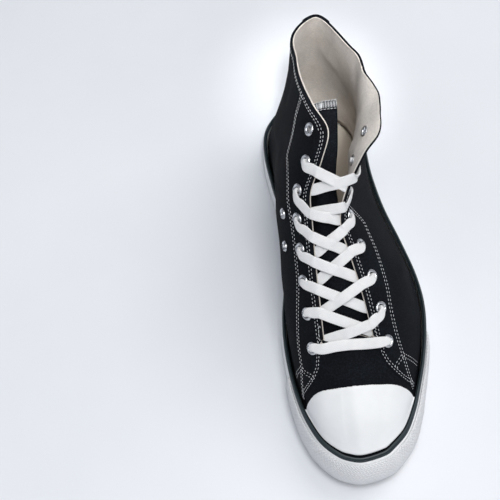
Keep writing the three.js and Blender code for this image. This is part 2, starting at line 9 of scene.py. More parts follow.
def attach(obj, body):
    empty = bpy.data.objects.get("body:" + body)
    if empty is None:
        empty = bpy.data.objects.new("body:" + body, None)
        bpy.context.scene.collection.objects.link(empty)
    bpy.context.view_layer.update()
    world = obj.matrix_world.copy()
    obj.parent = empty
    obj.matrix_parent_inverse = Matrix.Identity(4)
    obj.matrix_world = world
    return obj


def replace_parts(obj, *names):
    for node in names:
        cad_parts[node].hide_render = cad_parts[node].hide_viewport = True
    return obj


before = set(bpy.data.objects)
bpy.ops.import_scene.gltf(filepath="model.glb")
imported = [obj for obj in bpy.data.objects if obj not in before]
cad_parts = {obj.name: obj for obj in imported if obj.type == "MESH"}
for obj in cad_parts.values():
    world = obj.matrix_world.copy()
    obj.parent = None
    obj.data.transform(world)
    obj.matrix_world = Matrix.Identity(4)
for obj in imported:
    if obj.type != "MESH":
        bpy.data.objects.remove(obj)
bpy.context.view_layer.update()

# Sizes of the part, in millimetres
SHOE_LENGTH, BALL_WIDTH, COLLAR_HEIGHT = 300.0, 104.4, 157.0
MIDDLE = np.array([-0.278, 150.02, 0.0])
TREAD_THICKNESS = 2.2
TOE_SPRING, TOE_SPRING_LENGTH = 7.0, 81.0
ARCH_RISE, ARCH_MIDDLE, ARCH_REACH = 1.2, 0.6, 0.13
FOXING_HEIGHT, FOXING_THICKNESS, FOXING_TUCK, STRIPE_HEIGHT = 27.0, 3.5, 1.0, 3.6
BUMPER_THICKNESS, BUMPER_ENDS = 2.0, (-6.0, 7.0)
UPPER_WALL, VAMP_STEP, QUARTER_STATION = 2.6, 0.8, 5.0
CAP_LENGTH, CAP_THICKNESS = 55.0, 1.5
HEEL_STRIP_WIDTH, HEEL_STRIP_RISE = 17.0, 0.7
TONGUE_THICKNESS, TONGUE_BEND = 2.2, 2.2
EYELETS, FIRST_ROOM, LAST_ROOM, LAST_EYELET_STATION = 8, 0.15, 0.15, 13.3
EYELET_SETBACK, FLAP_SETBACK, EYELET_RADIUS, EYELET_BORE = 10.5, 4.0, 4.5, 2.45
VENT_RADIUS, VENT_BORE = 3.8, 2.5
LACE_WIDTH, LACE_THICKNESS = 7.4, 1.3
GAP = 0.3

# Shares of a height: where the band's side turns in, and where the upper's wall swells
BAND_TURN, LOW_SWELL, HIGH_SWELL = 0.3, 0.3, 0.8

# Stations: where the upper's columns no longer follow the quarter, and a small step along the outline
QUARTER_FADE, OUTLINE_STEP = 9.0, 0.02

# Millimetres: how much thinner a cloth wall is than its solid, the walls of the rubber and of the heel
# strip, how deep the tongue lies, then the edge roll, a stitch and the room in a hole for its eyelet
WALL_LESS = 0.5
BAND_WALL, BUMPER_WALL, STRIP_WALL = 2.4, 1.9, 1.0
TONGUE_DEPTH = UPPER_WALL + GAP + 1.2
ROLL_RADIUS, ROLL_INSET, ROLL_RISE = 0.42, 0.45, 0.2
STITCH_HEIGHT, STITCH_RISE = 0.45, 0.1
HOLE_ROOM, HOLE_DEPTH = 0.25, 12.0

# Stations from toe to heel: foot, inner, outer, top, lean
SOLE = np.array([
    [0.0077, -0.17, -0.17, 1.26, 0.34], [0.02, -0.421, 0.17, 1.256, 0.32],
    [0.0433, -0.594, 0.35, 1.25, 0.28], [0.0833, -0.759, 0.54, 1.22, 0.22],
    [0.14, -0.877, 0.68, 1.16, 0.16], [0.1933, -0.937, 0.77, 1.11, 0.11],
    [0.26, -0.981, 0.874, 1.07, 0.07], [0.3333, -0.998, 0.958, 1.04, 0.05],
    [0.4067, -0.973, 0.994, 1.02, 0.045], [0.4833, -0.897, 0.948, 1.0, 0.045],
    [0.5733, -0.808, 0.82, 1.0, 0.045], [0.6667, -0.805, 0.67, 1.01, 0.045],
    [0.76, -0.885, 0.58, 1.04, 0.045], [0.84, -0.93, 0.554, 1.08, 0.045],
    [0.9067, -0.89, 0.504, 1.12, 0.045], [0.9567, -0.69, 0.335, 1.15, 0.045],
    [0.9883, -0.421, 0.077, 1.165, 0.045], [1.0, -0.17, -0.17, 1.17, 0.045],
])

# Edge of throat and collar at each station: x, y, z, low swell, high swell
INNER_SIDE = np.array([
    [-0.167, 0.28, 0.468, 0.13, 0.03], [-0.253, 0.28, 0.467, 0.13, 0.04],
    [-0.33, 0.279, 0.465, 0.14, 0.06], [-0.406, 0.276, 0.462, 0.15, 0.09],
    [-0.452, 0.2743, 0.46, 0.15, 0.12], [-0.49, 0.27, 0.459, 0.14, 0.15],
    [-0.497, 0.288, 0.484, 0.13, 0.17], [-0.5, 0.327, 0.535, 0.15, 0.18],
    [-0.503, 0.377, 0.596, 0.19, 0.18], [-0.502, 0.433, 0.666, 0.22, 0.18],
    [-0.489, 0.493, 0.745, 0.21, 0.19], [-0.469, 0.543, 0.841, 0.165, 0.19],
    [-0.297, 0.5867, 0.949, 0.11, 0.19], [-0.186, 0.6333, 1.035, 0.02, 0.17],
    [-0.335, 0.703, 1.032, 0.04, 0.07], [-0.441, 0.787, 1.019, 0.05, 0.02],
    [-0.433, 0.892, 1.004, 0.05, 0.0], [-0.077, 0.94, 1.0, 0.05, -0.01],
])
OUTER_SIDE = np.array([
    [-0.167, 0.28, 0.468, 0.13, 0.03], [-0.08, 0.28, 0.467, 0.13, 0.04],
    [-0.004, 0.2783, 0.465, 0.14, 0.06], [0.073, 0.272, 0.461, 0.15, 0.09],
    [0.114, 0.2667, 0.457, 0.15, 0.12], [0.157, 0.2625, 0.457, 0.14, 0.15],
    [0.151, 0.277, 0.471, 0.13, 0.17], [0.113, 0.32, 0.525, 0.13, 0.17],
    [0.062, 0.372, 0.589, 0.12, 0.15], [-0.01, 0.43, 0.657, 0.09, 0.12],
    [-0.077, 0.49, 0.736, 0.06, 0.05], [0.029, 0.5367, 0.834, 0.04, -0.09],
    [0.268, 0.5867, 0.955, 0.04, -0.17], [0.469, 0.62, 1.01, 0.05, -0.2],
    [0.528, 0.6867, 1.022, 0.06, -0.16], [0.432, 0.778, 1.016, 0.06, -0.08],
    [0.22, 0.87, 1.006, 0.06, -0.03], [-0.077, 0.94, 1.0, 0.05, -0.01],
])

# Tongue from under the throat to its free top: y, z, inner, outer, inner drop, outer drop
TONGUE = np.array([
    [0.243, 0.432, -0.5, 0.17, 0.02, 0.02], [0.283, 0.464, -0.6, 0.26, 0.045, 0.045],
    [0.343, 0.567, -0.66, 0.24, 0.08, 0.08], [0.42, 0.658, -0.64, 0.12, 0.1, 0.08],
    [0.49, 0.74, -0.6, -0.01, 0.11, 0.05], [0.56, 0.825, -0.56, -0.06, 0.12, 0.03],
    [0.63, 0.9, -0.48, 0.0, 0.12, 0.015], [0.727, 0.975, -0.37, 0.06, 0.08, 0.01],
])
VENTS = ((9.62, 0.6), (10.65, 0.67))

# Creases of the slack cloth, each a soft trough (depth below 0) or ridge between two places of the
# part: first place, last place, width, depth
CREASES = (
    ((30, 104, 44), (44, 128, 36), 6.0, -1.22),
    ((26, 120, 62), (41, 150, 44), 7.0, 1.08),
    ((10, 196, 118), (27, 214, 70), 9.0, -1.76),
    ((24, 226, 96), (30, 252, 70), 8.0, 1.22),
    ((22, 236, 70), (27, 268, 48), 7.0, -1.35),
    ((-40, 196, 70), (-44, 226, 52), 8.0, -1.35),
    ((-38, 214, 96), (-41, 240, 78), 8.0, 1.08),
    ((-45, 128, 44), (-46, 152, 38), 7.0, -1.08),
    ((-32, 70, 62), (-16, 66, 67), 5.0, -0.68),
    ((-4, 64, 67), (14, 66, 62), 5.0, -0.68),
    ((-24, 60, 60), (4, 59, 62), 4.0, 0.47),
    ((-20, 276, 120), (8, 276, 112), 9.0, -0.94),
    ((19, 246, 160), (25, 238, 112), 6.0, 1.49),
    ((24, 231, 161), (31, 224, 112), 5.5, -1.62),
    ((27, 214, 161), (35, 206, 116), 6.0, 1.49),
    ((27, 197, 161), (35, 192, 124), 5.0, -1.08),
    ((-25, 250, 159), (-30, 246, 118), 7.0, -0.94),
)

# Front edge of the quarters over the vamp: share up, then its station on the outer and inner side
QUARTER_LINE = np.array([[0.0, 4.85, 4.95], [0.17, 4.6, 4.72], [0.335, 4.1, 4.2], [0.532, 3.5, 3.5],
                         [0.65, 3.2, 3.3], [0.76, 3.15, 3.55], [0.88, 3.9, 4.3], [1.0, 5.0, 5.0]])

# Double rows on the cloth besides those along edges: round, share up
SEAM_ROWS = (
    ((19.65, 0.94), (20.3, 0.77), (21.3, 0.645), (21.9, 0.69), (23.2, 0.775), (24.65, 0.77), (25.5, 0.75),
     (26.1, 0.7), (26.87, 0.595), (27.68, 0.47), (28.45, 0.385), (28.75, 0.28), (28.95, 0.17),
     (29.05, 0.03)),
    ((28.45, 0.385), (28.25, 0.2), (28.15, 0.03)),
    ((28.5, 0.395), (29.43, 0.49), (30.3, 0.51)),
    ((10.75, 0.96), (10.65, 0.87), (10.43, 0.72), (10.15, 0.64), (9.83, 0.635), (8.68, 0.67), (8.08, 0.675),
     (7.2, 0.68), (6.35, 0.623), (5.48, 0.482), (4.95, 0.328), (4.78, 0.16), (4.8, 0.03)),
    ((5.48, 0.482), (5.62, 0.3), (5.73, 0.05)),
    ((5.45, 0.49), (4.62, 0.532), (3.85, 0.52)),
)

# Sections of the rubber round the sole, from its foot to its top: share of the height, inset from the face
FOXING_SECTION = (
    (0, 1.0), (0.012, 0.45), (0.035, 0.12), (0.07, 0), (0.2, 0), (0.35, 0), (0.5, 0), (0.65, 0), (0.8, 0),
    (0.93, 0), (0.97, 0.1), (0.99, 0.35), (1.0, 0.8),
)
STRIPE_SECTION = (
    (0, 0.9), (0.04, 0.35), (0.14, 0.0), (0.34, -0.12), (0.5, 0.12), (0.66, -0.1), (0.84, 0.1),
    (0.95, 0.45), (1.0, 1.0),
)
BUMPER_SECTION = (
    (0, 1.0), (0.012, 0.4), (0.04, 0.08), (0.1, -0.05), (0.2, -0.1), (0.3, -0.1), (0.4, -0.1), (0.5, -0.1),
    (0.6, -0.1), (0.7, -0.08), (0.8, -0.04), (0.9, 0), (0.965, 0.2), (0.99, 0.5), (1.0, 1.1),
)

# The cap's back edge: how far its middle and its ends lie in front of CAP_LENGTH, how far its
# shoulders rise on the inner and outer side, and half the cap's width there
CAP_BOW, CAP_END, CAP_RISE, CAP_HALF = 1.6, 6.5, (1.7, 0.3), 38.0

# The inner side (False) and the outer (True): stations at which strands pass the throat's edge, pair by
# pair from the toe, over it into an eyelet and under it on their way from one, and how far each end
# hangs towards the toe at its eyelet
CROSSINGS = {
    False: {
        "over": (5.3, 7.05, 7.97, 8.89, 9.67, 10.4, 11.69),
        "under": (5.31, 7.03, 8.21, 9.13, 10.3, 11.06),
        "hang": (0.3, -1.0, 0.8, 2.2, 2.6, 2.6, 2.2),
    },
    True: {
        "over": (5.45, 6.55, 8.02, 9.11, 9.82, 10.57, 11.43),
        "under": (6.1, 7.15, 8.26, 9.14, 10.07, 11.1),
        "hang": (0.3, 2.4, 1.6, 1.6, 2.2, 1.6, 1.6),
    },
}

# Side that the strand lying on top starts from, crossing by crossing from the toe
TOP_STARTS_OUTER = (False, False, True, True, True, False)

# Shares of the way between two ends, and how far the lace is lifted there
TOP_LIFTS = ((0.3, 0.9), (0.5, 2.4), (0.75, 1.6), (0.93, 0.4))
LOW_LIFTS = ((0.3, 0.1), (0.5, 0.3), (0.75, 0.9), (0.93, 0.3))
BAR_LIFTS = ((0.12, 3.1), (0.3, 2.5), (0.5, 2.2), (0.7, 2.2), (0.88, 2.2))

# The camera's azimuth, elevation and roll in degrees, then metres, and pixels of a 500 pixel picture
CAMERA_ANGLES = (0.4, 64.5, -7.2)
CAMERA_TARGET, CAMERA_DISTANCE = (-0.0664, 0.0164, 0.05), 0.9
FOCAL_PIXELS, FRAME_PIXELS = 1278, 500

# The heel's station, and all the rounds from the toe along the outer side and back along the inner
HEEL = len(SOLE) - 1
ROUND = 2 * HEEL


# Form of the shoe

def spline(values, t, closed):
    """Smooth value of a table's rows at t, counted in rows."""
    count = len(values)
    t = np.mod(t, count) if closed else np.clip(t, 0, count - 1)
    first = np.floor(t).astype(int)
    if not closed:
        first = np.minimum(first, count - 2)
    part = t - first
    if np.ndim(values) > 1:
        part = part[..., None]

    def at(row):
        return values[np.mod(row, count)] if closed else values[np.clip(row, 0, count - 1)]

    a, b, c, d = at(first - 1), at(first), at(first + 1), at(first + 2)
    return b + 0.5 * part * (c - a + part * (2 * a - 5 * b + 4 * c - d + part * (3 * (b - c) + d - a)))


def ring(outer, inner):
    """A column of outer and of inner values as one ring from the toe round the heel."""
    return np.concatenate([outer, inner[HEEL - 1:0:-1]])


RINGS = {
    "foot": ring(SOLE[:, 0], SOLE[:, 0]) * SHOE_LENGTH,
    "width": ring(SOLE[:, 2], SOLE[:, 1]) * BALL_WIDTH / 2,
    "top": ring(SOLE[:, 3], SOLE[:, 3]) * FOXING_HEIGHT,
    "lean": ring(SOLE[:, 4], SOLE[:, 4]) * FOXING_HEIGHT,
    "low": ring(OUTER_SIDE[:, 3], INNER_SIDE[:, 3]),
    "high": ring(OUTER_SIDE[:, 4], INNER_SIDE[:, 4]),
}
EDGE = np.stack([
    ring(OUTER_SIDE[:, 0], INNER_SIDE[:, 0]) * BALL_WIDTH / 2,
    ring(OUTER_SIDE[:, 1], INNER_SIDE[:, 1]) * SHOE_LENGTH,
    ring(OUTER_SIDE[:, 2], INNER_SIDE[:, 2]) * COLLAR_HEIGHT,
], axis=1)


def around(name, r):
    """A ring's value at a round: 0 at the toe, HEEL at the heel, then back along the inner side."""
    return spline(RINGS[name], r, True)


def station_of(r):
    """How far a round is from the toe, in stations, on either side."""
    turn = np.mod(r, ROUND)
    return np.minimum(turn, ROUND - turn)


def side_round(outer, station):
    """The round of a station on the outer or the inner side."""
    return station if outer else ROUND - station


def unit(v):
    return v / np.maximum(np.linalg.norm(v, axis=-1, keepdims=True), 1e-9)


def run_along(points):
    """Distance to each point from the first, along the line that they make."""
    return np.concatenate([[0], np.cumsum(np.linalg.norm(np.diff(points, axis=0), axis=1))])


def underside(y):
    """Height of the sole's underside over the ground."""
    toe = np.maximum(0, 1 - y / TOE_SPRING_LENGTH)
    arch = np.maximum(0, 1 - abs(y / SHOE_LENGTH - ARCH_MIDDLE) / ARCH_REACH)
    return TOE_SPRING * toe**2 + ARCH_RISE * arch**2 * (3 - 2 * arch)


def outline(r):
    """The sole's outline in plan, and its direction out."""
    def at(place):
        return np.stack([around("width", place), around("foot", place), 0 * place], axis=-1)

    along = unit(at(r + OUTLINE_STEP) - at(r - OUTLINE_STEP))
    return at(r), np.stack([along[..., 1], -along[..., 0], 0 * r], axis=-1)


def sole_side(r, share, inset):
    """The sole's side at a share of its height, a distance in from the band's face."""
    r, share = np.broadcast_arrays(np.asarray(r, float), np.asarray(share, float))
    point, out = outline(r)
    above = np.maximum(0, (share - BAND_TURN) / (1 - BAND_TURN))
    below = np.maximum(0, 1 - share / BAND_TURN)
    back = np.asarray(inset) + around("lean", r) * above**2 + FOXING_TUCK * below**2
    point = point - out * back[..., None]
    bottom = underside(point[..., 1]) + TREAD_THICKNESS + GAP
    point[..., 2] = bottom + (around("top", r) - bottom) * share
    return point


def upper_face(r, up):
    """The upper's outer face: up runs from 0 at the band's top to 1 at the edge."""
    r, up = np.broadcast_arrays(np.asarray(r, float), np.asarray(up, float))
    foot = sole_side(r, 1.0, FOXING_THICKNESS + GAP)
    edge = spline(EDGE, r, True)
    chord = edge - foot
    length = np.linalg.norm(chord, axis=-1, keepdims=True)
    swell = outline(r)[1]
    swell = swell - chord * (swell * chord).sum(-1, keepdims=True) / length**2
    swell = unit(swell) * length
    low = foot + chord * LOW_SWELL + swell * around("low", r)[..., None]
    high = foot + chord * HIGH_SWELL + swell * around("high", r)[..., None]
    u = up[..., None]
    return (1 - u)**3 * foot + 3 * u * (1 - u)**2 * low + 3 * u**2 * (1 - u) * high + u**3 * edge


def upper_out(r, up):
    """Direction out of the upper's face."""
    r, up = np.broadcast_arrays(np.asarray(r, float), np.asarray(up, float))
    along = upper_face(r + 0.3, up) - upper_face(r - 0.3, up)
    rising = upper_face(r, np.minimum(1, up + 0.02)) - upper_face(r, np.maximum(0, up - 0.02))
    return unit(np.cross(along, rising))


def slack(points):
    """How far the cloth stands out at each point because of its creases."""
    out = np.zeros(points.shape[:-1])
    for first, last, width, depth in CREASES:
        start = np.array(first, float)
        run = np.array(last, float) - start
        share = np.clip(((points - start) @ run) / (run @ run), 0, 1)
        away = np.linalg.norm(points - (start + share[..., None] * run), axis=-1)
        out += depth * np.exp(-(away / width)**2)
    return out


def quarter_station(outer, up):
    """Station of the quarter's front edge, at a share up; outer is an array or one value."""
    sides = [np.interp(up, QUARTER_LINE[:, 0], QUARTER_LINE[:, column]) for column in (1, 2)]
    return np.where(outer, *sides)


def follow_quarter(r, up):
    """Moves a grid's columns so that the one at QUARTER_STATION runs along the quarter's edge."""
    outer = np.mod(r, ROUND) <= HEEL
    station = station_of(r)
    shift = quarter_station(outer, up) - QUARTER_STATION
    behind = np.clip((QUARTER_FADE - station) / (QUARTER_FADE - QUARTER_STATION), 0, 1)
    fade = np.where(station < QUARTER_STATION, station / QUARTER_STATION, behind)
    return r + np.where(outer, 1, -1) * shift * fade


def on_upper(r, up, out):
    """A place on the cloth, a distance out of its face."""
    r, up = np.broadcast_arrays(np.asarray(r, float), np.asarray(up, float))
    face = upper_face(r, up)
    line = quarter_station(np.mod(r, ROUND) <= HEEL, up)
    step = -VAMP_STEP * np.clip((line + 0.02 - station_of(r)) / 0.04, 0, 1)
    rise = np.asarray(out) + step + slack(face) * np.clip(8 * up, 0, 1)
    return face + upper_out(r, up) * rise[..., None]


def down_from_edge(r, distance):
    """Share up the wall at a distance below the edge."""
    ups = np.linspace(1, 0.3, 90)
    line = upper_face(np.full(90, float(r)), ups)
    return float(np.interp(distance, run_along(line), ups))


def over_band(r, distance):
    """Share up the wall at a distance over the band's top."""
    speed = np.linalg.norm(upper_face(r, 0.01) - upper_face(r, 0.0), axis=-1) / 0.01
    return distance / speed


def set_back(outer, r, up, distance):
    """The round that lies a distance nearer to the heel, on the same level."""
    speed = np.linalg.norm(upper_face(r + 0.05, up) - upper_face(r, up), axis=-1) / 0.05
    return r + (distance if outer else -distance) / speed


def seat(points):
    """Millimetres of the shoe's own sizes to metres of the frame."""
    return (np.asarray(points) - MIDDLE) / 1000


def standing_on(r, up):
    """Stands a shape on the cloth with its Z pointing out."""
    turn = Vector(upper_out(r, up)).to_track_quat("Z", "Y").to_matrix().to_4x4()
    return Matrix.Translation(Vector(seat(on_upper(r, up, 0.0)))) @ turn


# Making and keeping pieces

def add(name, data):
    """A new object in the scene."""
    made = bpy.data.objects.new(name, data)
    bpy.context.scene.collection.objects.link(made)
    return made


def mesh_of(name, shape):
    """A mesh from a finished bmesh."""
    mesh = bpy.data.meshes.new(name)
    shape.to_mesh(mesh)
    shape.free()
    return mesh


def keep(name, shape, materials, nodes=()):
    """A piece of the shoe, and the nodes that it stands for."""
    mesh = mesh_of(name, shape)
    piece = add(name, mesh)
    for material in materials:
        mesh.materials.append(material)
    mesh.polygons.foreach_set("use_smooth", [True] * len(mesh.polygons))
    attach(piece, "root")
    if nodes:
        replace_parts(piece, *nodes)
    return piece


def sheet(columns, rows, place, closed=False):
    """A grid laid over a surface; its UV map is in millimetres along the surface."""
    columns, rows = np.asarray(columns, float), np.asarray(rows, float)
    wide, high = len(columns), len(rows)
    shape = bmesh.new()
    bmesh.ops.create_grid(shape, x_segments=wide - 1, y_segments=high - 1, size=1.0)
    shape.verts.ensure_lookup_table()
    column = np.array([round((v.co.x + 1) / 2 * (wide - 1)) for v in shape.verts])
    row = np.array([round((v.co.y + 1) / 2 * (high - 1)) for v in shape.verts])
    points = place(*np.meshgrid(columns, rows, indexing="ij"))
    across = np.zeros((wide, high))
    across[1:] = np.cumsum(np.linalg.norm(np.diff(points, axis=0), axis=2), axis=0)
    across[:] = across[:, high // 2:high // 2 + 1]
    along = np.zeros((wide, high))
    along[:, 1:] = np.cumsum(np.linalg.norm(np.diff(points, axis=1), axis=2), axis=1)
    for v, place_of_v in zip(shape.verts, seat(points)[column, row]):
        v.co = place_of_v
    uv = shape.loops.layers.uv.new("cloth")
    for face in shape.faces:
        for loop in face.loops:
            corner = column[loop.vert.index], row[loop.vert.index]
            loop[uv].uv = (across[corner], along[corner])
    if closed:
        bmesh.ops.remove_doubles(shape, verts=shape.verts, dist=1e-6)
    return shape


def solidify(piece, thickness, lining=False):
    """Gives a sheet its thickness, with the second material inside where it has a lining."""
    wall = piece.modifiers.new("wall", "SOLIDIFY")
    wall.thickness = thickness / 1000
    wall.offset = -1
    wall.use_even_offset = False
    wall.material_offset = 1 if lining else 0


def stitch(shape, centre, along, out, length, width, height):
    """One thread of a seam: a small rounded grain lying on the cloth."""
    along = unit(along)
    out = unit(out - along * (out @ along))
    across = np.cross(out, along)
    turn = Matrix(np.stack([along * length / 2, across * width / 2, out * height / 2], axis=1).tolist())
    matrix = Matrix.Translation(Vector(seat(centre))) @ (turn * 0.001).to_4x4()
    bmesh.ops.create_icosphere(shape, subdivisions=1, radius=1.0, matrix=matrix)


def seam(shape, place, start, end, pitch=2.6, length=1.75, width=0.44):
    """A row of stitches: place gives points and outward directions from start to end."""
    points, outs = place(np.linspace(start, end, 160))
    run = run_along(points)
    count = max(1, int(run[-1] / pitch))
    middles = (np.arange(count) + 0.5) * run[-1] / count

    def pick(values, at):
        return np.stack([np.interp(at, run, values[:, axis]) for axis in range(3)], axis=1)

    centres = pick(points, middles)
    along = pick(points, middles + 0.5) - pick(points, middles - 0.5)
    for centre, direction, out in zip(centres, along, pick(outs, middles)):
        stitch(shape, centre + out * STITCH_RISE, direction, out, length, width, STITCH_HEIGHT)


# Finishes

class Finish:
    """A material being wired: short calls for its nodes."""

    def __init__(self, name, **values):
        self.material = bpy.data.materials.new(name)
        self.material.use_nodes = True
        self.tree = self.material.node_tree
        self.shader = self.tree.nodes["Principled BSDF"]
        for key, value in values.items():
            self.shader.inputs[key.replace("_", " ")].default_value = value

    def node(self, kind, inputs, **settings):
        made = self.tree.nodes.new(kind)
        for key, value in settings.items():
            setattr(made, key, value)
        for key, value in inputs.items():
            if isinstance(value, bpy.types.NodeSocket):
                self.tree.links.new(value, made.inputs[key])
            else:
                made.inputs[key].default_value = value
        return made

    def place(self, cloth=False, scale=(1, 1, 1), turn=0.0):
        """Place on the piece, in metres, or along its cloth, in millimetres."""
        source = self.node("ShaderNodeTexCoord", {}).outputs["UV" if cloth else "Object"]
        inputs = {"Vector": source, "Scale": scale, "Rotation": (0, 0, turn)}
        return self.node("ShaderNodeMapping", inputs).outputs[0]

    def noise(self, place, scale, detail=3.0, roughness=0.55):
        inputs = {"Vector": place, "Scale": scale, "Detail": detail, "Roughness": roughness}
        return self.node("ShaderNodeTexNoise", inputs).outputs[0]

    def wave(self, place, scale, direction="X", distortion=0.0):
        inputs = {"Vector": place, "Scale": scale, "Distortion": distortion, "Detail": 1.0}
        settings = {"bands_direction": direction, "wave_profile": "SIN"}
        return self.node("ShaderNodeTexWave", inputs, **settings).outputs[1]

    def sum(self, first, second, how="ADD"):
        return self.node("ShaderNodeMath", {0: first, 1: second}, operation=how).outputs[0]

    def ramp(self, value, *stops):
        """Colours at places along a value; a single number is a grey."""
        made = self.node("ShaderNodeValToRGB", {0: value})
        steps = made.color_ramp.elements
        while len(steps) < len(stops):
            steps.new(0.5)
        for step, (at, colour) in zip(steps, stops):
            step.position = at
            step.color = (*colour, 1) if isinstance(colour, tuple) else (colour, colour, colour, 1)
        return made.outputs[0]

    def mix(self, share, first, second, how="MIX"):
        inputs = {0: share}
        for key, colour in ((6, first), (7, second)):
            inputs[key] = (*colour, 1) if isinstance(colour, tuple) else colour
        return self.node("ShaderNodeMix", inputs, data_type="RGBA", blend_type=how).outputs[2]

    def bump(self, height, distance, strength, under=None):
        inputs = {"Height": height, "Distance": distance, "Strength": strength}
        if under is not None:
            inputs["Normal"] = under
        return self.node("ShaderNodeBump", inputs).outputs[0]

    def finish(self, colour, roughness, normal):
        for key, socket in (("Base Color", colour), ("Roughness", roughness), ("Normal", normal)):
            if socket is not None:
                self.tree.links.new(socket, self.shader.inputs[key])
        return self.material


def black_canvas():
    look = Finish("black_canvas", Roughness=0.9, Specular_IOR_Level=0.08)
    cloth, body = look.place(True), look.place()
    weave = look.sum(look.wave(cloth, 0.32, "X", 1.2), look.wave(cloth, 0.32, "Y", 1.2), "MULTIPLY")
    wear = look.noise(body, 38, 5, 0.6)
    tone = look.ramp(wear, (0.3, (0.0046, 0.0048, 0.0068)), (0.62, (0.0066, 0.0082, 0.0110)),
                     (0.85, (0.009, 0.0135, 0.017)))
    threads = look.ramp(look.noise(body, 900, 2, 0.7), (0.45, 0.75), (0.75, (1.9, 1.95, 2.0)))
    lint = look.ramp(look.noise(body, 420, 4, 0.8), (0.7, 0), (0.84, (0.03, 0.033, 0.036)))
    colour = look.mix(1.0, look.mix(1.0, tone, threads, "MULTIPLY"), lint, "ADD")
    normal = look.bump(weave, 0.00016, 0.9, look.bump(wear, 0.0006, 0.5))
    return look.finish(colour, look.ramp(wear, (0.2, 0.82), (0.8, 0.96)), normal)


def beige_lining(name="beige_lining", tint=1.0):
    look = Finish(name, Roughness=0.92, Sheen_Weight=0.2)
    rib = look.wave(look.place(True, turn=0.6), 0.26, "X", 0.8)
    body = look.place()
    dark = tuple(v * tint for v in (0.66, 0.605, 0.55))
    pale = tuple(v * tint for v in (0.82, 0.775, 0.725))
    colour = look.ramp(look.noise(body, 26, 4, 0.55), (0.3, dark), (0.75, pale))
    fleck = look.ramp(look.noise(body, 700, 2, 0.7), (0.35, 0.9), (0.7, 1.08))
    colour = look.mix(1.0, colour, fleck, "MULTIPLY")
    folds_and_painted_shade = look.noise(look.place(scale=(1.3, 1, 0.45), turn=0.5), 42, 3, 0.5)
    # The folds also darken the colour in streaks: painted shade in the lining's wrinkles.
    colour = look.mix(1.0, colour, look.ramp(folds_and_painted_shade, (0.36, 0.84), (0.6, 1)), "MULTIPLY")
    return look.finish(colour, None, look.bump(rib, 0.00014, 0.7, look.bump(folds_and_painted_shade, 0.003, 0.5)))


def white_rubber(name, colour=(0.80, 0.815, 0.835), scuffs=0.0, ribs=False, line=None):
    """White rubber with, where asked, faint scuffs, moulded ribs with painted shade in their grooves, or a
    dark line between two heights painted as the shade of a thin groove.
    """
    look = Finish(name, Roughness=0.42, Specular_IOR_Level=0.5)
    look.shader.inputs["Subsurface Weight"].default_value = 0.06
    look.shader.inputs["Subsurface Radius"].default_value = (0.004, 0.004, 0.004)
    body = look.place()
    dirt = look.noise(body, 22, 5, 0.6)
    tone = look.ramp(dirt, (0.35, tuple(v * 0.93 for v in colour)), (0.6, colour))
    normal = look.bump(look.noise(body, 260, 3), 0.00012, 0.35)
    if scuffs:
        streak = look.noise(look.place(scale=(1, 6, 1), turn=0.35), 34, 4, 0.7)
        tone = look.mix(1.0, tone, look.ramp(streak, (0.66, 1), (0.74, 1 - scuffs)), "MULTIPLY")
    if ribs:
        left, right = (look.wave(look.place(True, turn=turn), 0.21, "Y", 0.2) for turn in (0.62, -0.62))
        rows = look.wave(look.place(True), 0.105, "Y")
        pattern = look.mix(look.ramp(rows, (0.45, 0), (0.55, 1)), left, right)
        # The ribs also darken the colour in their grooves: painted shade.
        shade = look.ramp(pattern, (0.1, (0.88, 0.885, 0.9)), (0.6, 1))
        tone = look.mix(1.0, tone, shade, "MULTIPLY")
        normal = look.bump(pattern, 0.0005, 0.8, normal)
    if line:
        # The dark line is painted shade, standing in for a thin groove that the band's shape does not have.
        level = look.node("ShaderNodeSeparateXYZ", {0: look.place(True)}).outputs[1]
        share = look.node("ShaderNodeMapRange", {0: level, 1: line[0], 2: line[1]}).outputs[0]
        inside = look.ramp(share, (0.0, 0), (0.02, 1), (0.98, 1), (1.0, 0))
        tone = look.mix(inside, tone, (0.03, 0.036, 0.042))
    return look.finish(tone, look.ramp(dirt, (0.3, 0.36), (0.7, 0.5)), normal)


def dark_rubber():
    look = Finish("dark_rubber", Roughness=0.45)
    dust = look.noise(look.place(), 60, 4, 0.6)
    colour = look.ramp(dust, (0.3, (0.011, 0.021, 0.027)), (0.75, (0.020, 0.034, 0.042)))
    return look.finish(colour, look.ramp(dust, (0.3, 0.4), (0.8, 0.58)), look.bump(dust, 0.0003, 0.3))


def tread_rubber():
    look = Finish("tread_rubber", Roughness=0.62)
    slanted = look.place(turn=math.radians(45))
    lozenge = look.sum(look.wave(slanted, 60, "X"), look.wave(slanted, 60, "Y"), "MAXIMUM")
    dirt = look.noise(look.place(), 30, 5, 0.65)
    colour = look.ramp(dirt, (0.3, (0.42, 0.38, 0.31)), (0.7, (0.56, 0.52, 0.44)))
    # The lozenge also darkens the colour in the tread's grooves: painted shade.
    colour = look.mix(1.0, colour, look.ramp(lozenge, (0.4, 0.8), (0.9, 1)), "MULTIPLY")
    return look.finish(colour, None, look.bump(lozenge, 0.0008, 0.8, look.bump(dirt, 0.0004, 0.4)))


def eyelet_metal():
    look = Finish("eyelet_metal", Metallic=1.0, Roughness=0.28)
    haze = look.noise(look.place(), 240, 4, 0.6)
    colour = look.ramp(haze, (0.3, (0.52, 0.54, 0.57)), (0.7, (0.78, 0.79, 0.81)))
    return look.finish(colour, look.ramp(haze, (0.3, 0.2), (0.8, 0.38)), look.bump(haze, 0.0001, 0.3))


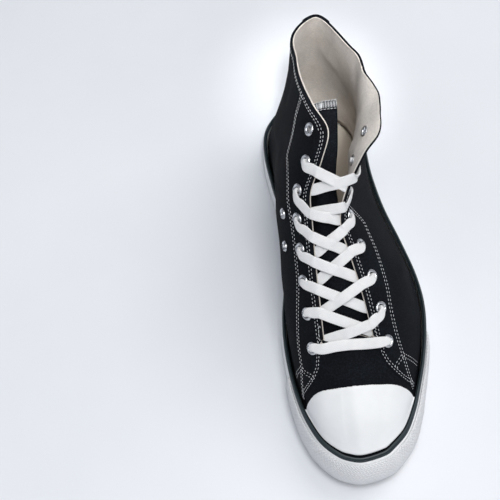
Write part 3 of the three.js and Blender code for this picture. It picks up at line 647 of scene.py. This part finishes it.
def lace_cotton():
    look = Finish("lace_cotton", Roughness=0.95, Sheen_Weight=0.3)
    look.shader.inputs["Subsurface Weight"].default_value = 0.05
    look.shader.inputs["Subsurface Radius"].default_value = (0.002, 0.002, 0.002)
    left, right = (look.wave(look.place(True, turn=turn), 0.42, "X", 0.4) for turn in (0.75, -0.75))
    plait = look.sum(left, right, "MAXIMUM")
    shade = look.noise(look.place(), 120, 4, 0.6)
    colour = look.ramp(shade, (0.3, (0.84, 0.85, 0.865)), (0.7, (0.92, 0.925, 0.935)))
    # The plait also darkens the colour between its ridges: painted shade in the weave.
    colour = look.mix(1.0, colour, look.ramp(plait, (0.35, 0.78), (0.8, 1)), "MULTIPLY")
    return look.finish(colour, None, look.bump(plait, 0.0003, 0.8, look.bump(shade, 0.0004, 0.4)))


def white_thread():
    look = Finish("white_thread", Roughness=0.85, Sheen_Weight=0.2)
    twist = look.wave(look.place(turn=0.5), 900, "X", 1.0)
    # The twist's darker and lighter bands along each stitch are painted shade and highlight of the twisted
    # thread.
    colour = look.ramp(twist, (0.2, (0.50, 0.52, 0.55)), (0.8, (0.72, 0.735, 0.76)))
    return look.finish(colour, None, look.bump(twist, 0.0001, 0.4))


def insole_cloth():
    look = Finish("insole_cloth", Roughness=0.9, Sheen_Weight=0.15)
    body = look.place()
    weave = look.sum(look.wave(body, 380, "X", 1.0), look.wave(body, 380, "Y", 1.0), "MULTIPLY")
    wear = look.noise(body, 20, 5, 0.6)
    colour = look.ramp(wear, (0.3, (0.52, 0.47, 0.40)), (0.75, (0.64, 0.59, 0.52)))
    return look.finish(colour, None, look.bump(weave, 0.0002, 0.7, look.bump(wear, 0.0008, 0.4)))


def pale_floor():
    look = Finish("pale_floor", Roughness=0.75)
    body = look.place()
    tone = look.ramp(look.noise(body, 3.5, 4, 0.6), (0.3, (0.74, 0.765, 0.81)), (0.7, (0.79, 0.81, 0.85)))
    return look.finish(tone, None, look.bump(look.noise(body, 40, 4), 0.0006, 0.25))


CANVAS = black_canvas()
LINING = beige_lining()
LINING_EDGE = beige_lining("lining_edge", 0.9)
# The dark line on the foxing is painted shade of a thin groove.
FOXING_WHITE = white_rubber("foxing_white", line=(5.6, 6.5))
CAP_WHITE = white_rubber("cap_white", (0.80, 0.815, 0.83), scuffs=0.05)
BUMPER_WHITE = white_rubber("bumper_white", (0.80, 0.81, 0.83), ribs=True)
STRIPE_DARK = dark_rubber()
TREAD = tread_rubber()
METAL = eyelet_metal()
COTTON = lace_cotton()
THREAD = white_thread()
INSOLE = insole_cloth()


# Upper

def eyelet_place(outer, pair):
    """Round and share up of an eyelet; the pairs are spaced evenly along the throat's edge."""
    stations = np.linspace(QUARTER_STATION, LAST_EYELET_STATION, 161)
    run = run_along(upper_face(side_round(outer, stations), 1.0))
    share = (pair + FIRST_ROOM) / (EYELETS - 1 + FIRST_ROOM + LAST_ROOM)
    r = side_round(outer, float(np.interp(share * run[-1], run, stations)))
    return r, down_from_edge(r, EYELET_SETBACK + FLAP_SETBACK * share**2)


EYELET_PLACES = {(outer, pair): eyelet_place(outer, pair)
                 for outer in (True, False) for pair in range(EYELETS)}
VENT_PLACES = [(ROUND - station, up) for station, up in VENTS]


def upper_columns():
    """Rounds of the upper's columns, closer together at the step of the quarters."""
    columns = np.linspace(0, ROUND, ROUND * 9 + 1)
    edges = (QUARTER_STATION, ROUND - QUARTER_STATION)
    steps = [edge + aside for edge in edges for aside in (-0.03, -0.012, 0.012, 0.03)]
    columns = [column for column in columns if min(abs(column - step) for step in steps) > 0.02]
    return np.sort(np.concatenate([columns, steps]))


def wall(r, up):
    """The upper's face, carried on behind the band where up is below 0."""
    r = follow_quarter(r, np.maximum(up, 0))
    face = on_upper(r, np.maximum(up, 0), 0.0)
    hidden = sole_side(r, 1 + np.minimum(up, 0) * 0.72, FOXING_THICKNESS + GAP)
    return np.where((up < 0)[..., None], hidden, face)


def cut_holes(piece, places, radius):
    """Round holes through the cloth, made with one cutter and then applied."""
    cutter = bmesh.new()
    for r, up in places:
        bmesh.ops.create_cone(cutter, cap_ends=True, segments=20, radius1=radius / 1000,
                              radius2=radius / 1000, depth=HOLE_DEPTH / 1000, matrix=standing_on(r, up))
    mesh = mesh_of("hole_cutter", cutter)
    helper = add("hole_cutter", mesh)
    cut = piece.modifiers.new("holes", "BOOLEAN")
    cut.operation, cut.solver, cut.object = "DIFFERENCE", "EXACT", helper
    graph = bpy.context.evaluated_depsgraph_get()
    made = bpy.data.meshes.new_from_object(piece.evaluated_get(graph))
    piece.modifiers.clear()
    old = piece.data
    piece.data = made
    made.name = old.name
    bpy.data.objects.remove(helper)
    bpy.data.meshes.remove(mesh)
    bpy.data.meshes.remove(old)


UPPER_ROWS = np.concatenate([[-1, -0.6, -0.25, -0.08], np.linspace(0, 0.96, 50), [0.975, 0.99, 1.0]])
upper = keep("canvas_upper", sheet(upper_columns(), UPPER_ROWS, wall, closed=True),
             [CANVAS, LINING], ["upper"])
solidify(upper, UPPER_WALL - WALL_LESS, lining=True)
cut_holes(upper, list(EYELET_PLACES.values()) + VENT_PLACES, EYELET_BORE + HOLE_ROOM)


def edge_roll(r, turn):
    """Round roll of the lining's edge, just inside the cloth's edge."""
    r, turn = np.broadcast_arrays(r, turn)
    out = upper_out(r, 1.0)
    rise = unit(upper_face(r, 1.0) - upper_face(r, 0.98))
    centre = on_upper(r, 1.0, ROLL_INSET - UPPER_WALL) + rise * ROLL_RISE
    return centre + (out * np.cos(turn)[..., None] + rise * np.sin(turn)[..., None]) * ROLL_RADIUS


roll = sheet(np.linspace(0, ROUND, ROUND * 10 + 1), np.linspace(0, -2 * math.pi, 9), edge_roll, closed=True)
keep("lining_edge_roll", roll, [LINING_EDGE])


# Seams

def throat_row(outer, setback, first, last):
    """A row at a distance below the throat's or the collar's edge, between two stations."""
    def place(stations):
        r = side_round(outer, stations)
        up = np.array([down_from_edge(v, setback) for v in r])
        return on_upper(r, up, 0.0), upper_out(r, up)

    return place, first, last


def quarter_row(outer, setback):
    """A row at a distance behind the quarter's front edge."""
    def place(ups):
        r = set_back(outer, side_round(outer, quarter_station(outer, ups) + 0.03), ups, setback)
        return on_upper(r, ups, 0.0), upper_out(r, ups)

    return place, 0.985, 0.02


def surface_row(points, side_step):
    """A row through places given as round and share up, moved sideways."""
    table = np.array(points, float)

    def place(t):
        r, up = spline(table, t * (len(table) - 1), False).T
        line, outs = on_upper(r, up, 0.0), upper_out(r, up)
        along = unit(np.gradient(line, axis=0))
        return line + np.cross(outs, along) * side_step, outs

    return place, 0.0, 1.0


seams = bmesh.new()
for outer in (False, True):
    for setback in (2.3, 4.3):
        seam(seams, *throat_row(outer, setback, 5.15, 12.9 if outer else 13.0))
    for setback in (3.4, 5.8):
        seam(seams, *throat_row(outer, setback, 13.0, 16.85))
    for setback in (1.2, 3.1):
        seam(seams, *quarter_row(outer, setback))
for row in SEAM_ROWS:
    for side_step in (-1.15, 1.15):
        seam(seams, *surface_row(row, side_step))
keep("upper_stitching", seams, [THREAD])


# Tongue

def tongue_line(share, column):
    return spline(TONGUE[:, column], share * (len(TONGUE) - 1), False)


def tongue_crown(share):
    """The tongue's middle line, along its top."""
    middle = [0 * share, tongue_line(share, 0) * SHOE_LENGTH, tongue_line(share, 1) * COLLAR_HEIGHT]
    return np.stack(middle, -1)


def tongue_face(share, across):
    """The tongue's upper side: share runs to its free top, across from -1 inside to 1 outside."""
    along = tongue_crown(np.minimum(1, share + 0.01)) - tongue_crown(np.maximum(0, share - 0.01))
    down = unit(np.stack([0 * share, along[..., 2], -along[..., 1]], -1))
    inner = tongue_line(share, 2) * BALL_WIDTH / 2
    outer = tongue_line(share, 3) * BALL_WIDTH / 2
    drop = np.where(across < 0, tongue_line(share, 4), tongue_line(share, 5)) * COLLAR_HEIGHT
    point = tongue_crown(share)
    point[..., 0] = (inner + outer) / 2 + across * (outer - inner) / 2
    return point + down * (drop * np.abs(across)**TONGUE_BEND)[..., None]


def tongue_at(share, across, depth):
    """A place at a depth under the tongue's face, rippled a little, and its direction out."""
    share, across = np.broadcast_arrays(share, across)
    face = tongue_face(share, across)
    up = tongue_face(np.minimum(1, share + 0.01), across) - tongue_face(np.maximum(0, share - 0.01), across)
    right_side, left_side = np.minimum(1, across + 0.01), np.maximum(-1, across - 0.01)
    out = unit(np.cross(tongue_face(share, right_side) - tongue_face(share, left_side), up))
    ripple = 0.5 * np.sin(share * 17 + across * 1.6) * np.clip((share - 0.2) * 3, 0, 1)
    return face + out * (ripple - depth)[..., None], out


def tongue_place(across, share):
    """The tongue's sheet, with its top corners rounded."""
    corner = np.clip((share - 0.955) / 0.045, 0, 1)
    pulled = across * (1 - 0.16 * (1 - np.sqrt(np.maximum(0, 1 - corner**2))))
    return tongue_at(share, pulled, TONGUE_DEPTH)[0]


tongue = keep("canvas_tongue", sheet(np.linspace(-1, 1, 41), np.linspace(0, 1, 111), tongue_place),
              [CANVAS, LINING], ["tongue"])
solidify(tongue, TONGUE_THICKNESS - WALL_LESS, lining=True)


def overlock():
    """Slanted threads over the tongue's top edge, and the two rows that hold them."""
    threads = bmesh.new()
    for across in np.linspace(-0.95, 0.9, 19):
        low, out = tongue_at(np.array(0.968), np.array(across), np.array(TONGUE_DEPTH - 0.3))
        high = tongue_at(np.array(0.9995), np.array(across + 0.035), np.array(TONGUE_DEPTH - 0.3))[0]
        length = np.linalg.norm(high - low) * 1.05
        stitch(threads, (low + high) / 2, high - low, out, length, 0.5, STITCH_HEIGHT)
    for share, width in ((0.966, 0.42), (0.9995, 0.6)):
        def place(across, share=share):
            return tongue_at(share + 0 * across, across, TONGUE_DEPTH - 0.2 + 0 * across)

        seam(threads, place, -0.97, 0.95, pitch=2.1, length=2.2, width=width)
    return threads


keep("tongue_overlock", overlock(), [THREAD])


# Rubber round the sole

def stripe_share(r):
    """Share of the band below the stripe, which narrows a little round the toe."""
    height = STRIPE_HEIGHT * (1 - 0.3 * np.exp(-(station_of(r) / 4)**2))
    return 1 - height / (around("top", r) - TREAD_THICKNESS)


def section(stops, v):
    """Height share and inset of a rounded section, read along its length."""
    table = np.array(stops, float)
    run = np.arange(len(table))
    return np.interp(v, run, table[:, 0]), np.interp(v, run, table[:, 1])


def foxing_place(r, v):
    share, inset = section(FOXING_SECTION, v)
    return sole_side(r, share * (stripe_share(r) - 0.004), inset)


def stripe_place(r, v):
    share, inset = section(STRIPE_SECTION, v)
    low = stripe_share(r)
    return sole_side(r, low + share * (1 - low), inset)


def bumper_place(r, v):
    """The ribbed strip outside the foxing, thinner towards its two ends."""
    share, inset = section(BUMPER_SECTION, v)
    room = np.minimum(r - BUMPER_ENDS[0], BUMPER_ENDS[1] - r)
    thick = BUMPER_THICKNESS * (0.25 + 0.75 * np.clip(room / 0.5, 0, 1)**0.5)
    return sole_side(r, share * (stripe_share(r) - 0.004), inset - thick - GAP)


BAND_COLUMNS = np.linspace(0, ROUND, ROUND * 8 + 1)
foxing = keep("foxing_band", sheet(BAND_COLUMNS, np.linspace(0, 12, 25), foxing_place, closed=True),
              [FOXING_WHITE], ["foxing"])
solidify(foxing, BAND_WALL)
stripe = keep("foxing_stripe_bead", sheet(BAND_COLUMNS, np.linspace(0, 8, 17), stripe_place, closed=True),
              [STRIPE_DARK], ["foxing_stripe"])
solidify(stripe, BAND_WALL)
bumper = keep("ribbed_bumper", sheet(np.linspace(*BUMPER_ENDS, 170), np.linspace(0, 14, 43), bumper_place),
              [BUMPER_WHITE], ["toe_bumper"])
solidify(bumper, BUMPER_WALL)


# Toe cap and heel strip

def cap_edge(x):
    """How far back the cap reaches at a place across the foot."""
    aside = abs(x + 4) / CAP_HALF
    rise = np.where(x < -4, *CAP_RISE)
    return CAP_LENGTH - CAP_BOW + rise * (aside * 1.36)**2 - (CAP_END - CAP_BOW + rise) * aside**8


def cap_end(sign):
    """The round at which the cap's back edge meets the stripe, on the side of the sign."""
    for r in sign * np.arange(3.5, 7, 0.01):
        foot = upper_face(r, 0.0)
        if foot[1] > cap_edge(foot[0]):
            return r


def cap_top(r):
    """Share up the wall where the cap's back edge crosses a column."""
    ups = np.linspace(0, 0.95, 240)
    line = upper_face(np.full(240, r), ups)
    past = np.nonzero(line[:, 1] > cap_edge(line[:, 0]))[0]
    return ups[past[0]] if len(past) else ups[-1]


CAP_COLUMNS = np.linspace(cap_end(-1), cap_end(1), 150)
CAP_TOPS = [cap_top(r) for r in CAP_COLUMNS]
CAP_ROWS = np.concatenate([np.linspace(0, 0.97, 40), [0.98, 0.985, 0.99, 0.995, 1.0]])


def cap_place(r, v):
    """The cap's crown, proud of the vamp, flared over the stripe and rounded at its back edge."""
    low = over_band(r, GAP)
    up = low + np.maximum(0, np.interp(r, CAP_COLUMNS, CAP_TOPS) - low) * v
    flare = 0.9 * np.clip(1 - v / 0.2, 0, 1)**2
    round_back = 0.55 * np.clip((v - 0.975) / 0.025, 0, 1)**2
    crown = CAP_THICKNESS - VAMP_STEP + GAP + flare - round_back
    return upper_face(r, up) + upper_out(r, up) * crown[..., None]


cap = keep("rubber_toe_cap", sheet(CAP_COLUMNS, CAP_ROWS, cap_place),
           [CAP_WHITE], ["toe_cap"])
solidify(cap, CAP_THICKNESS)


def strip_at(across, row):
    """A place on the heel strip, which thins at its long edges, and its direction out."""
    up = over_band(np.full(np.shape(row), float(HEEL)), GAP) * (1 - row) + row
    r = set_back(True, float(HEEL), up, across * HEEL_STRIP_WIDTH / 2)
    thin = 0.5 * np.clip((np.abs(across) - 0.9) / 0.1, 0, 1)**2
    out = upper_out(r, up)
    return upper_face(r, up) + out * (HEEL_STRIP_RISE - thin)[..., None], out


def strip_place(across, row):
    return strip_at(across, row)[0]


strip = keep("heel_strip_cloth", sheet(np.linspace(-1, 1, 25), np.linspace(0, 1, 60), strip_place),
             [CANVAS], ["heel_strip"])
solidify(strip, STRIP_WALL)
strip_seams = bmesh.new()
for across in (-0.82, -0.6, 0.6, 0.82):
    seam(strip_seams, lambda row, across=across: strip_at(across + 0 * row, row), 0.02, 0.985)
keep("heel_strip_stitching", strip_seams, [THREAD])


# Eyelets and vents

def eyelet(name, place, radius, bore, node):
    """Rolled ring of metal: a rounded flange outside, a barrel, and a flatter flange on the lining."""
    inside = -(UPPER_WALL - WALL_LESS) - 0.25
    rim = [
        (bore, inside), (bore, 0.15), (bore + 0.25, 0.75), (bore + 0.8, 1.05),
        ((radius + bore) / 2 + 0.2, 1.1), (radius - 0.6, 0.85), (radius - 0.15, 0.5), (radius, 0.12),
        (radius - 0.1, -0.05), (bore + 0.35, 0.0), (bore + 0.35, inside + 0.3),
        (radius - 0.8, inside + 0.3), (radius - 0.6, inside), (radius - 0.8, inside - 0.35),
        (bore + 0.7, inside - 0.45), (bore + 0.2, inside - 0.3),
    ]
    metal = bmesh.new()
    points = [metal.verts.new((x / 1000, 0, z / 1000)) for x, z in rim]
    lines = [metal.edges.new(pair) for pair in zip(points, points[1:] + points[:1])]
    bmesh.ops.spin(metal, geom=points + lines, cent=(0, 0, 0), axis=(0, 0, 1), angle=2 * math.pi, steps=28,
                   use_merge=True)
    bmesh.ops.remove_doubles(metal, verts=metal.verts, dist=1e-6)
    bmesh.ops.recalc_face_normals(metal, faces=metal.faces)
    bmesh.ops.transform(metal, matrix=standing_on(*place), verts=metal.verts)
    keep(name, metal, [METAL], [node])


for (outer, pair), place in EYELET_PLACES.items():
    side = "outer" if outer else "inner"
    eyelet(f"{side}_eyelet_{pair + 1}", place, EYELET_RADIUS, EYELET_BORE, f"eyelet_{side}_{pair + 1}")
for number, place in enumerate(VENT_PLACES, 1):
    eyelet(f"side_vent_{number}", place, VENT_RADIUS, VENT_BORE, f"vent_{number}")


# Lace

# Which way the instep faces under the lace
INSTEP_OUT = unit(np.array([-0.1, -0.5, 0.86]))


def on_flap(outer, pair, edge_round, share, forward):
    """A place on the cloth between an eyelet (share 0) and the edge (share 1), moved towards the toe."""
    r, up = EYELET_PLACES[outer, pair]
    r = set_back(outer, r + (edge_round - r) * share, up, -forward)
    up = up + (1 - up) * share
    return on_upper(r, up, 0.0), upper_out(r, up)


def lace_end(outer, pair):
    """From over the edge into an eyelet: places, outward directions, widths and thicknesses."""
    edge_round = side_round(outer, CROSSINGS[outer]["over"][pair])
    hang = CROSSINGS[outer]["hang"][pair]
    r, up = EYELET_PLACES[outer, pair]
    hole, out = on_upper(r, up, 0.0), upper_out(r, up)
    edge, edge_out = upper_face(edge_round, 1.0), upper_out(edge_round, 1.0)
    middle, middle_out = on_flap(outer, pair, edge_round, 0.62, hang * 0.4)
    near, near_out = on_flap(outer, pair, edge_round, 0.27, hang)
    away = unit(near - edge)
    corner = unit(edge_out - 0.5 * unit(hole - edge))
    behind = hole - out * (UPPER_WALL + 1.2)
    stops = [
        (edge + corner * 1.5, corner, 1, 1),
        (middle + middle_out * 1.7, middle_out, 1, 1),
        (near + near_out * 2.1, near_out, 0.84, 1.1),
        (near * 0.35 + hole * 0.65 + away * 0.6 + out * 2.0, unit(out + 0.4 * away), 0.6, 1.4),
        (hole + away * 0.5 + out * 0.9, unit(0.6 * out + away), 0.46, 1.6),
        (hole + away * 0.2 - out * 0.5, away, 0.42, 1.7),
        (behind, away, 0.42, 1.7),
    ]
    return [(place, facing, LACE_WIDTH * wide, LACE_THICKNESS * thick)
            for place, facing, wide, thick in stops]


def lace_start(outer, pair):
    """From behind an eyelet, under the cloth, out past the edge towards the next pair."""
    edge_round = side_round(outer, CROSSINGS[outer]["under"][pair])
    r, up = EYELET_PLACES[outer, pair]
    hole, out = on_upper(r, up, 0.0), upper_out(r, up)
    edge, edge_out = upper_face(edge_round, 1.0), upper_out(edge_round, 1.0)
    inward = unit(edge - hole)
    under = edge - edge_out * (UPPER_WALL - WALL_LESS + LACE_THICKNESS * 0.75)
    return [
        (hole - out * (UPPER_WALL + 1.4) + inward, out, LACE_WIDTH * 0.7, LACE_THICKNESS),
        (under - inward * 4.0, edge_out, LACE_WIDTH * 0.95, LACE_THICKNESS),
        (under + inward * 0.8, unit(edge_out + 0.8 * INSTEP_OUT), LACE_WIDTH, LACE_THICKNESS),
    ]


def ribbon(name, stops, samples):
    """Flat woven lace through a few places, rounded at its two long edges."""
    points, outs = (np.array([stop[part] for stop in stops]) for part in (0, 1))
    sizes = np.array([stop[2:] for stop in stops])
    run = np.concatenate([[0], np.cumsum(np.linalg.norm(np.diff(points, axis=0), axis=1)**0.6)])
    t = np.interp(np.linspace(0, run[-1], samples), run, np.arange(len(points)))
    line = spline(points, t, False)
    along = unit(np.gradient(line, axis=0))
    out = spline(outs, t, False)
    out = unit(out - along * (out * along).sum(-1, keepdims=True))
    across = np.cross(out, along)
    size = spline(sizes, t, False) / 2

    def place(sample, turn):
        k = np.round(sample).astype(int)
        aside = np.sign(np.cos(turn)) * np.abs(np.cos(turn))**0.55
        rise = np.sign(np.sin(turn)) * np.abs(np.sin(turn))**0.7
        weave = 1 + 0.012 * np.cos(sample * math.pi)
        aside, rise = aside * size[k, 0] * weave, rise * size[k, 1]
        return line[k] + across[k] * aside[..., None] + out[k] * rise[..., None]

    turns = np.linspace(-math.pi / 2, math.pi * 1.5, 21)
    woven = sheet(np.arange(samples), turns, place, closed=True)
    bmesh.ops.holes_fill(woven, edges=[edge for edge in woven.edges if edge.is_boundary], sides=60)
    bmesh.ops.recalc_face_normals(woven, faces=woven.faces)
    return keep(name, woven, [COTTON])


def between_edges(first, last, lift, share):
    """A place in the air between the two edges, lifted out of the instep."""
    out = unit(first[1] * (1 - share) + last[1] * share + 1.2 * INSTEP_OUT)
    point = first[0] * (1 - share) + last[0] * share + out * lift
    return point, out, LACE_WIDTH, LACE_THICKNESS


def over_vamp(x, y):
    """The point of the vamp above or below a place in plan, and its direction out."""
    r, up = (v.ravel() for v in np.meshgrid(np.linspace(-6, 6, 97), np.linspace(0.6, 1, 41)))
    points = on_upper(r, up, 0.0)
    nearest = np.argmin((points[:, 0] - x)**2 + (points[:, 1] - y)**2)
    return points[nearest], upper_out(r[nearest], up[nearest])


def lace_bar():
    """The straight bar over the lowest pair, following the vamp."""
    first, last = lace_end(False, 0)[2:], lace_end(True, 0)[2:]
    between = []
    for share, lift in BAR_LIFTS:
        face, out = over_vamp(*(first[0][0] * (1 - share) + last[0][0] * share)[:2])
        between.append((face + out * lift, out, LACE_WIDTH, LACE_THICKNESS))
    return ribbon("lace_bar", first[::-1] + between + last, 120)


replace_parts(lace_bar(), "lace")
for crossing, top_outer in enumerate(TOP_STARTS_OUTER):
    for outer in (True, False):
        start, end = lace_start(outer, crossing), lace_end(not outer, crossing + 1)
        lifts = TOP_LIFTS if outer == top_outer else LOW_LIFTS
        middle = [between_edges(start[-1], end[0], lift, share) for share, lift in lifts]
        ribbon(f"lace_strand_{crossing + 1}_{'outer' if outer else 'inner'}", start + middle + end, 90)


# Pieces of the frame that keep their own shape

def dress(node, material):
    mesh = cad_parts[node].data
    mesh.materials.clear()
    mesh.materials.append(material)


dress("outsole", TREAD)
dress("insole", INSOLE)
for node in sorted(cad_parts):
    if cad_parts[node].hide_render is False and node not in ("outsole", "insole"):
        dress(node, CANVAS)


# Floor, light and camera

ground = bmesh.new()
bmesh.ops.create_grid(ground, x_segments=2, y_segments=2, size=4.0)
floor = add("studio_floor", mesh_of("studio_floor", ground))
floor.data.materials.append(pale_floor())


def light(name, kind, place, aim, power, **settings):
    lamp = bpy.data.lights.new(name, kind)
    lamp.energy = power
    for key, value in settings.items():
        setattr(lamp, key, value)
    holder = add(name, lamp)
    holder.location = place
    holder.rotation_euler = (Vector(aim) - Vector(place)).to_track_quat("-Z", "Y").to_euler()


light("key_light", "AREA", (1.1, 0.7, 1.9), (0, 0, 0.05), 19, size=1.3, color=(1.0, 0.985, 0.96))
light("fill_light", "AREA", (-1.4, -0.6, 1.5), (0, 0, 0.05), 3, size=1.6, color=(0.9, 0.95, 1.0))
light("toe_light", "AREA", (0.2, -1.7, 1.3), (0, -0.1, 0.03), 7, size=1.2, color=(0.97, 0.98, 1.0))
light("overhead_light", "AREA", (0.1, -0.35, 1.6), (-0.03, 0.05, 0.05), 14.5,
      size=0.6, color=(1.0, 0.99, 0.97))
light("collar_light", "SPOT", (0.008, -0.13, 0.61), (-0.002, 0.098, 0.15), 30,
      spot_size=math.radians(8), spot_blend=1.0, shadow_soft_size=0.05)
world = bpy.data.worlds.new("studio")
world.use_nodes = True
sky = world.node_tree.nodes["Background"]
sky.inputs["Color"].default_value = (0.86, 0.9, 1.0, 1)
sky.inputs["Strength"].default_value = 0.23
bpy.context.scene.world = world
bpy.context.scene.view_settings.view_transform = "Standard"


def photo_camera():
    """A camera at the photograph's angle, turned a little about its own axis."""
    azimuth, elevation, roll = (math.radians(angle) for angle in CAMERA_ANGLES)
    level = math.cos(elevation)
    back = Vector((math.sin(azimuth) * level, -math.cos(azimuth) * level, math.sin(elevation)))
    right = (-back).cross(Vector((0, 0, 1))).normalized()
    above = back.cross(right)
    rolled_right = math.cos(roll) * right + math.sin(roll) * above
    rolled_up = -math.sin(roll) * right + math.cos(roll) * above
    lens = bpy.data.cameras.new("camera")
    lens.sensor_width, lens.sensor_fit = 36, "HORIZONTAL"
    lens.lens = FOCAL_PIXELS / FRAME_PIXELS * lens.sensor_width
    camera = add("camera", lens)
    turn = Matrix((rolled_right, rolled_up, back)).transposed().to_4x4()
    camera.matrix_world = Matrix.Translation(Vector(CAMERA_TARGET) + back * CAMERA_DISTANCE) @ turn
    return camera


bpy.context.scene.camera = photo_camera()
